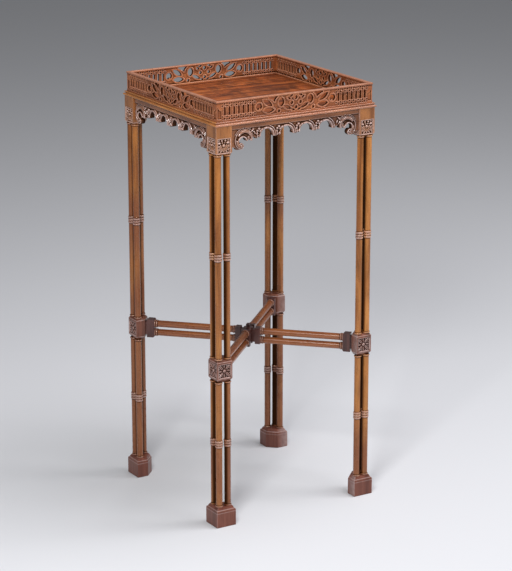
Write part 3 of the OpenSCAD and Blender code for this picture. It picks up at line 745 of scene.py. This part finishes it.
def scroll_openings(u, w):
    """Openings of the middle motif, and of the loops and curls beside it."""
    top, mid, foot = window_top, window_mid, foot_rail_h
    over_crossing = np.maximum.reduce([
        plate(u, w, crossing_u - 7, crossing_u + 10, top - 7.4, top - 0.4),
        -disc(u, w, crossing_u - 13.5, top - 11, 13),
        -disc(u, w, crossing_u + 14, top - 22, 20.4)])
    curl = np.maximum(disc(u, w, curl_u, mid + 0.4, curl_r), -disc(u, w, curl_u - 1.4, mid - 4.6, 2.8))
    openings = np.minimum.reduce([
        leaf(u, w, 9, top - 1.6, 3, 1.1, -15),
        leaf(u, w, 13.5, top - 5.2, 2.8, 1.1, 35),
        leaf(u, w, 5.8, foot + 3, 2.8, 1, 20),
        disc(u, w, 8.3, mid + 0.6, 2.1),
        leaf(u, w, 16.5, mid - 6, 7.6, 2.1, 25),
        leaf(u, w, loop_u, mid + 3.6, loop_h / 2, loop_w / 2, 90),
        disc(u, w, loop_u + 4.8, foot + 3.4, 1.8),
        over_crossing,
        leaf(u, w, crossing_u + 12.3, mid + 4.8, 9.3, 3.3, 33),
        leaf(u, w, crossing_u + 10.3, mid - 7.2, 9.4, 3.7, 3),
        curl,
        disc(u, w, 0, top - 5.2, 2.5),
        disc(u, w, 0, foot + 6.4, 1.9),
    ])
    return openings - scroll_spread


def gallery_solid(u, w):
    return np.minimum(arcade_openings(np.abs(u), w), scroll_openings(np.abs(u), w))


def fret_relief(u, w):
    """Carving that both faces of a gallery share: strapwork round the scrolls, a bead at the foot."""
    arcades = arcade_openings(np.abs(u), w)
    scrolls = scroll_openings(np.abs(u), w)
    in_window = span(w, foot_rail_h + 0.3, window_top - 0.3, 0.6)
    scroll_zone = ease(arcades, 1.0, 2.0) * in_window
    strap = strap_h * half_round(scrolls - strap_w / 2, strap_w)
    height = scroll_zone * (strap - fret_sunk * ease(scrolls, 2.2, 3.6))
    hollow = in_window * (1 - scroll_zone) * ease(arcades, 0.8, 1.4)
    height = height - fret_sunk * hollow
    return height + foot_bead_h * half_round(w - foot_rail_h + 0.9, foot_bead_w)


def gallery_front(u, w):
    height = fret_relief(u, w)
    corner = half_tray - np.abs(u)
    panel = np.maximum(plate(corner, w, *stile_panel), -disc(corner, w, *stile_panel_head))
    height = np.where(corner < stile_w - 0.6, np.minimum(height, 0.0), height)
    height = height - stile_panel_depth * ease(-panel, -0.1, 0.6) + 0.25 * half_round(panel - 0.6, 1.0)
    return height + rim_lip * half_round(w - gallery_h + rim_h / 2, rim_h)


def gallery_painted_highlights(u, w):
    """Painted highlights on the rim's top and on the sills under the arches."""
    end = half_tray - stile_w
    in_arcade = span(np.abs(u), end - arch_count * arch_pitch, end, 1)
    rim = RIM_HIGHLIGHT * ease(w, gallery_h - 1.6, gallery_h - 0.6)
    return rim + in_arcade * groove(w - arch_sill + 0.4, 0.7)


def gallery_back(u, w):
    height = fret_relief(u, w)
    # The bead inside the foot stands on the board and rounds off over the last millimetre
    height = np.where(w < inner_bead, inner_bead - 0.02, height)
    bead = np.sqrt(np.clip(1 - (w - inner_bead) ** 2, 0, 1))
    height = height + np.where((w >= inner_bead) & (w < inner_bead + 1), inner_bead * bead, 0)
    return height + rim_lip * half_round(w - gallery_h + rim_h / 2, rim_h)


def gallery_place(u, w, depth):
    stile = np.maximum(np.abs(u) - (half_tray - stile_w), 0)
    x = np.sign(u) * (np.minimum(np.abs(u), half_tray - stile_w) + stile * (stile_w - depth) / stile_w)
    return np.stack([x, depth - half_tray, w + board_top], -1)


FRET_STEP = 0.5
gallery_mesh = carved_mesh(
    "pierced_gallery",
    np.linspace(-half_tray, half_tray, int(2 * half_tray / FRET_STEP) + 1),
    np.linspace(-rebate_h, gallery_h, int((gallery_h + rebate_h) / FRET_STEP) + 1),
    gallery_solid, gallery_front, gallery_back, gallery_t, gallery_place,
    edge_r=0.7, edge_wear_and_highlight=0.6, gain=1.4, rub=gallery_painted_highlights)
for side_name, angle in SIDES.items():
    add_piece(f"pierced_gallery_{side_name}", gallery_mesh, turned_by(angle),
              f"gallery_{side_name}", gallery_wood)


# Scrolled aprons, on places e from the top block and v below the board

scallop_zone = 2 * (apron_half - bracket_w)
scallop_pitch = scallop_zone / scallop_count
scallops = [(i + 0.5) * scallop_pitch - scallop_zone / 2 for i in range(scallop_count)]


def apron_solid(u, w):
    v = -w
    e = apron_half - np.abs(u)
    a = np.minimum.reduce([np.abs(u - place) for place in scallops])
    block_side = np.minimum(big_u + big_r + ridge_w / 2 - e, big_v - v)
    body = np.maximum.reduce([point_h - v, block_side, np.minimum(volute_u - e, bracket_h - v)])
    body = np.minimum.reduce([
        body,
        disc(a, v, 0, scallop_top + scallop_r, scallop_r),
        disc(e, v, hook_u, hook_v, hook_r),
        disc(e, v, 0.4 * cove_r, bracket_h + 0.4 * cove_r, cove_r)])
    cusp = np.minimum.reduce([np.abs(u - place + scallop_pitch / 2) for place in scallops])
    cusp = np.minimum(cusp, np.abs(u - scallops[-1] - scallop_pitch / 2))
    ends = np.minimum.reduce([
        disc(e, v, big_u + big_r - scroll_end_r / 2, big_v, scroll_end_r),
        disc(e, v, hook_u + hook_r + scroll_end_r, big_v, scroll_end_r),
        disc(e, v, volute_u, bracket_h - volute_r, volute_r),
        disc(a, v, scallop_r + curl_out, point_h, curl_end_r),
        leaf(cusp, v, 0, point_h, cusp_half_l, cusp_half_w, 90)])
    return np.maximum(body, -ends)


def about(e, v, centre_e, centre_v):
    """Distance from a centre, and the angle up from +e in degrees, from -90 to 270."""
    turn = np.degrees(np.arctan2(centre_v - v, e - centre_e))
    return np.hypot(e - centre_e, v - centre_v), np.where(turn < -90, turn + 360, turn)


def large_scroll(e, v):
    """The scroll beside a block as (profile, height): its ridges, the curl under it and the leaves."""
    out, turn = about(e, v, big_u, big_v)
    ring, ring_turn = about(e, v, hook_u, hook_v)
    swell = span(turn, 45, 115, 45)
    ball = np.hypot(e - volute_u, v - bracket_h + volute_r)
    eye = np.hypot(e - volute_u + 1.2, v - bracket_h + 5.8)
    curl = np.sqrt(np.clip(1 - (ball / (volute_r + 0.3)) ** 2, 0, 1))
    curl = curl - 0.55 * groove(ball - 2.9, 0.7) - 0.5 * groove(eye, 0.8)
    return [
        # The broad ridge, two thin ones over it, the hook's and a low one down to the curl
        (span(turn, -10, 140, 14) * half_round(out - big_r - 0.8 * swell, 3.2 + 2.4 * swell), 2.7),
        (span(turn, 25, 225, 12) * half_round(out - 17.2, 1.7), 0.9),
        (span(turn, 55, 145, 12) * half_round(out - 19.7, 1.4), 0.6),
        (span(ring_turn, -5, 190, 14) * half_round(ring - hook_r - 1.6, 2.7), 1.9),
        (span(turn, 185, 235, 10) * half_round(out - 13, 5), 1.2),
        # Balls at the ends of the ridges, a swell between them, two leaves and the curl
        (lump(e, v, big_u + big_r - 0.8, big_v + 0.3, 2.7, 2.7), 2.3),
        (lump(e, v, hook_u + hook_r + 1.6, big_v + 0.3, 2.3, 2.3), 1.8),
        (lump(e, v, 32.6, 24, 2.5, 3.6), 0.9),
        (lump(e, v, 39.2, 12.2, 4.4, 1.6, -45), 1.7),
        (lump(e, v, 43.5, 16.5, 3.4, 1.4, 60), 1.2),
        (curl, 2.2),
    ]


def small_arch(a, v):
    """The carving of a small arch, at places a to the right of its middle, as (profile, height)."""
    out, turn = about(a, v, 0, scallop_top + scallop_r)
    # Leaves beside the arch: a place, two radii and a turn
    leaves = [(-14.5, 11.6, 2.8, 2.2, 20), (-12.2, 15.4, 2.2, 2.0, 0), (-17.8, 14.4, 2.4, 2.0, 40),
              (-18.6, 18.6, 2.0, 2.5, 0), (-13.2, 22.8, 1.7, 2.5, 0), (-9.2, 13.0, 3.6, 1.4, -35)]
    return [
        (span(turn, -8, 108, 16) * half_round(out - 13.1, 3.5), 2.5),
        (span(turn, -10, 66, 10) * half_round(out - 17.0, 2.3), 1.6),
        (span(turn, 100, 170, 14) * half_round(out - 12.9, 2.4), 0.9),
        (lump(a, v, -17.2, 23.2, 1.9, 2.7), 1.5),
    ] + [(lump(a, v, *place), 2.3) for place in leaves]


def apron_front(u, w):
    v = -w
    e = apron_half - np.abs(u)
    marks = large_scroll(e, v)
    for place in scallops:
        marks += small_arch(u - place, v)
    ground = -sunk * ease(v, band_h - 0.3, band_h + 0.5)
    height = ground
    for profile, top in marks:
        height = np.maximum(height, np.where(profile > 0, (top + sunk) * profile - sunk, -9))
    # Drilled eyes between the leaves, and the line under the plain band
    eyes = [groove(np.hypot(u - place + eye_out, v - eye_v), eye_w) for place in scallops]
    line = groove(v - band_h - 0.4, line_w)
    return height - eye_depth * np.maximum.reduce(eyes) - line_depth * line


def plain(u, w):
    return np.zeros_like(u)


def apron_place(u, w, depth):
    return np.stack([u, depth + apron_face, w + board_under], -1)


APRON_STEP = 0.4
apron_mesh = carved_mesh(
    "scrolled_apron",
    np.linspace(-apron_half, apron_half, int(2 * apron_half / APRON_STEP) + 1),
    np.linspace(-bracket_h, 0, int(bracket_h / APRON_STEP) + 1),
    apron_solid, apron_front, plain, apron_t, apron_place,
    edge_r=0.8, edge_wear_and_highlight=0.5, gain=2.0, rub=plain)
for side_name, angle in SIDES.items():
    add_piece(f"scrolled_apron_{side_name}", apron_mesh, turned_by(angle),
              f"apron_{side_name}", apron_wood)


# Carved blocks and feet

BLOCK_STEP = 0.4
FOOT_STEP = 0.6


def flower(a, b, size):
    """A square flower: a boss, four leaves to the corners and four small ones between."""
    field = np.zeros_like(a)
    for i in range(4):
        field = np.maximum(field, petal(a, b, 45 + 90 * i, size * 0.12, size * 0.56, size * 0.24))
        field = np.maximum(field, 0.85 * petal(a, b, 90 * i, size * 0.14, size * 0.36, size * 0.15))
        for turn in (22, 68):
            c, s = math.cos(math.radians(turn + 90 * i)), math.sin(math.radians(turn + 90 * i))
            field = np.maximum(field, 0.8 * lump(a, b, size * 0.45 * c, size * 0.45 * s, 1.1, 1.1))
    return np.maximum(field, 1.15 * lump(a, b, 0, 0, size * 0.14, size * 0.14))


def palmette(a, b, size):
    """Leaves that spread down from two scrolled lobes."""
    field = np.zeros_like(a)
    for way in (-1, 1):
        field = np.maximum(field, 1.1 * lump(a, b, way * size * 0.36, size * 0.22, 3.4, 2.1, 10 * way))
        field = np.maximum(field, 0.95 * lump(a, b, way * size * 0.14, size * 0.38, 2.3, 1.8, 70 * way))
        field = np.maximum(field, 0.85 * lump(a, b, way * size * 0.38, size * 0.4, 2.0, 1.6))
        for turn, reach, width in ((0, 0.4, 0.22), (30, 0.46, 0.2), (57, 0.6, 0.22), (82, 0.5, 0.2)):
            leaf_up = petal(a, b, way * turn - 90, size * 0.06, size * reach, size * width)
            field = np.maximum(field, leaf_up)
        for x, y in ((0.42, 0.02), (0.44, -0.42), (0.25, -0.44), (0.1, 0.22), (0.25, 0.06)):
            field = np.maximum(field, 0.8 * lump(a, b, way * size * x, size * y, 1.35, 1.35))
    return np.maximum(field, 1.1 * lump(a, b, 0, size * 0.03, size * 0.12, size * 0.12))


def framed_panel(a, b, half, pattern):
    """A sunk panel about (0, 0) with a rounded frame and a carved pattern."""
    edge = np.maximum(np.abs(a), np.abs(b)) - half
    inside = ease(-edge, 0, 0.5)
    carving = panel_depth * pattern(a, b, 2 * half) - panel_depth
    return frame_h * half_round(edge - frame_w / 2, frame_w) + inside * carving


def place_at_corners(kind, mesh, base, material):
    for corner, angle in CORNERS.items():
        matrix = turned_by(angle) @ moved(-leg_at, -leg_at, base)
        add_piece(f"carved_{kind}_{corner}", mesh, matrix, f"{kind}_{corner}", material)


def make_blocks(kind, low, high, cut, inset, pattern, panel_half, panel_z, edge_z, material):
    def relief(face, place, z):
        a = np.where(face == 0, -place, place)
        return np.where(face < 2, framed_panel(a, z - panel_z, panel_half, pattern), 0)

    tall = high[2] - low[2]
    mesh = carved_post(
        kind, block_plan((high[0] - low[0]) / 2, cut, BLOCK_STEP),
        np.linspace(0, tall, int(tall / BLOCK_STEP) + 1), inset, relief, edge_z, SHOULDER_RUB_AND_HIGHLIGHT)
    place_at_corners(kind, mesh, low[2], material)


def top_inset(z):
    return top_low_in * (1 - ease(z, 0, top_low_h))


def middle_inset(z):
    above = middle_high_in * (1 - np.clip((middle_h - z) / middle_high_h, 0, 1))
    return above + middle_low_in * (1 - np.clip(z / middle_low_h, 0, 1))


def foot_inset(z):
    """An eased underside, a rounded ledge over the face and a slope from it to the columns."""
    underside = foot_ease - np.sqrt(foot_ease ** 2 - np.clip(foot_ease - z, 0, foot_ease) ** 2)
    up = z - foot_face_h
    ledge = foot_swell * (1 - np.sqrt(np.clip(1 - (up / foot_ledge_h) ** 2, 0, 1)))
    slope_h = foot_h - foot_face_h - foot_ledge_h
    slope = foot_ledge_in + (foot_in - foot_ledge_in) * (up - foot_ledge_h) / slope_h
    return underside + np.where(up < 0, 0, np.where(up < foot_ledge_h, ledge, slope))


def flat(face, place, z):
    return np.zeros_like(z)


make_blocks(
    "top_block", block_low, block_high, top_cut, top_inset, palmette, top_panel_half, top_panel_z,
    (3.0,), block_wood)
make_blocks(
    "middle_block", middle_low, middle_high, middle_cut, middle_inset, flower, middle_panel_half,
    middle_h / 2, (middle_low_h, middle_h - middle_high_h), middle_wood)
foot_ledge_z = foot_face_h + foot_ledge_h
foot_levels = np.unique(np.concatenate([
    np.linspace(0, foot_ease, 6),
    np.linspace(foot_ease, foot_face_h, 40),
    np.linspace(foot_face_h, foot_h, 30),
    [foot_ledge_z - 0.01, foot_ledge_z + 0.01]]))
foot_mesh = carved_post(
    "foot", block_plan((foot_high[0] - foot_low[0]) / 2, foot_cut, FOOT_STEP), foot_levels,
    foot_inset, flat, (foot_face_h, foot_ledge_z), FOOT_RUB_AND_HIGHLIGHT)
place_at_corners("foot", foot_mesh, 0, foot_wood)


# Turned columns and rods

def turned_mesh(name, profile, shade_side, matrices):
    """One mesh with the same turned length at each matrix."""
    points, faces, wears_and_painted_light = [], [], []
    for i, matrix in enumerate(matrices):
        shape, shape_faces, shape_wear_and_painted_light = turned_shape(*profile, shade_side)
        turn = np.array(matrix)
        faces += [[n + len(shape) * i for n in face] for face in shape_faces]
        points.append(shape @ turn[:3, :3].T + turn[:3, 3] / MM)
        wears_and_painted_light.append(shape_wear_and_painted_light)
    return mesh_from(name, np.concatenate(points), faces, np.concatenate(wears_and_painted_light))


for kind, low, high, ring_z in (
        ("upper", middle_high[2], block_low[2], upper_ring_z),
        ("lower", foot_h, middle_low[2], lower_ring_z)):
    rings = (ring_z - bead_pitch, ring_z, ring_z + bead_pitch)
    profile = beaded_profile(low, high, column_r, rings, 1)
    for corner, angle in CORNERS.items():
        for name, (x, y, dirty) in COLUMN_STEPS.items():
            place = moved(x * column_step - leg_at, y * column_step - leg_at, 0)
            matrix = turned_by(angle) @ place @ turned_by(dirty)
            node_step = name if angle % 180 == 0 or name == "outer" else SWAPPED[name]
            node_name = f"{kind}_column_{corner}_{node_step}"
            column_mesh = turned_mesh(node_name, profile, COLUMN_SHADE, [matrix])
            add_piece(f"turned_{node_name}", column_mesh, Matrix(), node_name, column_wood)

rod_end = leg_at * math.sqrt(2) - middle_cut - neck_l - end_block_l + rod_spare
rod_profile = beaded_profile(rod_start, rod_end, rod_r, (), 2)
rod_turns = [turned_by(45 + 90 * i) @ Matrix.Rotation(math.pi / 2, 4, "Y") for i in range(4)]
for level, way in (("upper", 1), ("lower", -1)):
    rod_mesh = turned_mesh(f"{level}_rods", rod_profile, 0.0, rod_turns)
    add_piece(f"turned_rods_{level}", rod_mesh, moved(0, 0, middle_z + way * rod_step),
              f"stretcher_rods_{level}", rod_wood)


# Finishes of the frame's own pieces

def ease_edges(thing, width, segments=2):
    """Rounds the edges and gives them the paler edge material: rubbed wear with a painted highlight."""
    thing.data.materials.append(edge_wood_with_highlight)
    bevel = thing.modifiers.new("eased_edges", "BEVEL")
    bevel.material = 1
    bevel.width = width * MM
    bevel.segments = segments
    bevel.limit_method = "ANGLE"
    bevel.angle_limit = math.radians(35)
    bevel.harden_normals = False


for node_name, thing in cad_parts.items():
    if node_name == "tray_panel":
        finish_with(thing, tray_wood)
    elif node_name == "glue_blocks":
        finish_with(thing, inner_wood)
    elif node_name.startswith("edge_moulding"):
        # Mauve painted reflection on the front and back, golden painted light on the left and right
        finish_with(thing, moulding_x_reflection_tone if node_name.endswith(("front", "back")) else moulding_y_light_tone)
    elif "column" in node_name:
        finish_with(thing, column_wood)
    elif "rods" in node_name:
        finish_with(thing, rod_wood)
    elif node_name.startswith("stretcher_"):
        finish_with(thing, end_wood)
        ease_edges(thing, 0.5)
    elif node_name.startswith("hub"):
        finish_with(thing, end_wood)
    else:
        finish_with(thing, block_wood)


# Floor, lights and camera

bpy.ops.mesh.primitive_plane_add(size=30, location=(0, 0, 0))
floor = bpy.context.object
floor.name = "floor"
floor_material = bpy.data.materials.new("pale_floor")
floor_material.use_nodes = True
floor_shader = floor_material.node_tree.nodes["Principled BSDF"]
floor_shader.inputs["Base Color"].default_value = (0.72, 0.73, 0.75, 1)
floor_shader.inputs["Roughness"].default_value = 0.9
floor_shader.inputs["Specular IOR Level"].default_value = 0.1
floor.data.materials.append(floor_material)
floor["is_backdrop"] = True


LIGHT_AIM = (0, 0, 0.4)


def area_light(name, place, size, power, colour=(1, 1, 1)):
    lamp = bpy.data.lights.new(name, "AREA")
    lamp.size = size
    lamp.energy = power
    lamp.color = colour
    thing = bpy.data.objects.new(name, lamp)
    bpy.context.scene.collection.objects.link(thing)
    thing.location = place
    thing.rotation_euler = (Vector(LIGHT_AIM) - Vector(place)).to_track_quat("-Z", "Y").to_euler()


area_light("key_softbox", (-1.2, -1.3, 1.65), size=0.5, power=28)
area_light("right_softbox", (2.1, -1.3, 1.3), size=0.9, power=17)
area_light("top_softbox", (0.7, -0.7, 3.2), size=1.9, power=69, colour=(0.97, 0.96, 1))
world = bpy.data.worlds.new("studio")
bpy.context.scene.world = world
world.use_nodes = True
background = world.node_tree.nodes["Background"]
background.inputs["Color"].default_value = (0.86, 0.87, 0.9, 1)
background.inputs["Strength"].default_value = 0.19

camera_place = Vector((-1.966, -3.236, 1.471))
camera_turn = math.radians(31.48)
camera_drop = math.radians(16.33)
focal_px = 2294.0
frame_long_px = 571
sensor = 36.0
view_line = Vector((
    math.sin(camera_turn) * math.cos(camera_drop),
    math.cos(camera_turn) * math.cos(camera_drop),
    -math.sin(camera_drop)))
camera_data = bpy.data.cameras.new("camera")
camera_data.sensor_width = sensor
camera_data.lens = focal_px * sensor / frame_long_px
camera_data.clip_start = 0.05
camera_data.clip_end = 100
camera = bpy.data.objects.new("camera", camera_data)
bpy.context.scene.collection.objects.link(camera)
camera.location = camera_place
camera.rotation_euler = view_line.to_track_quat("-Z", "Y").to_euler()
bpy.context.scene.camera = camera
bpy.context.scene.view_settings.view_transform = "Standard"

low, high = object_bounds()
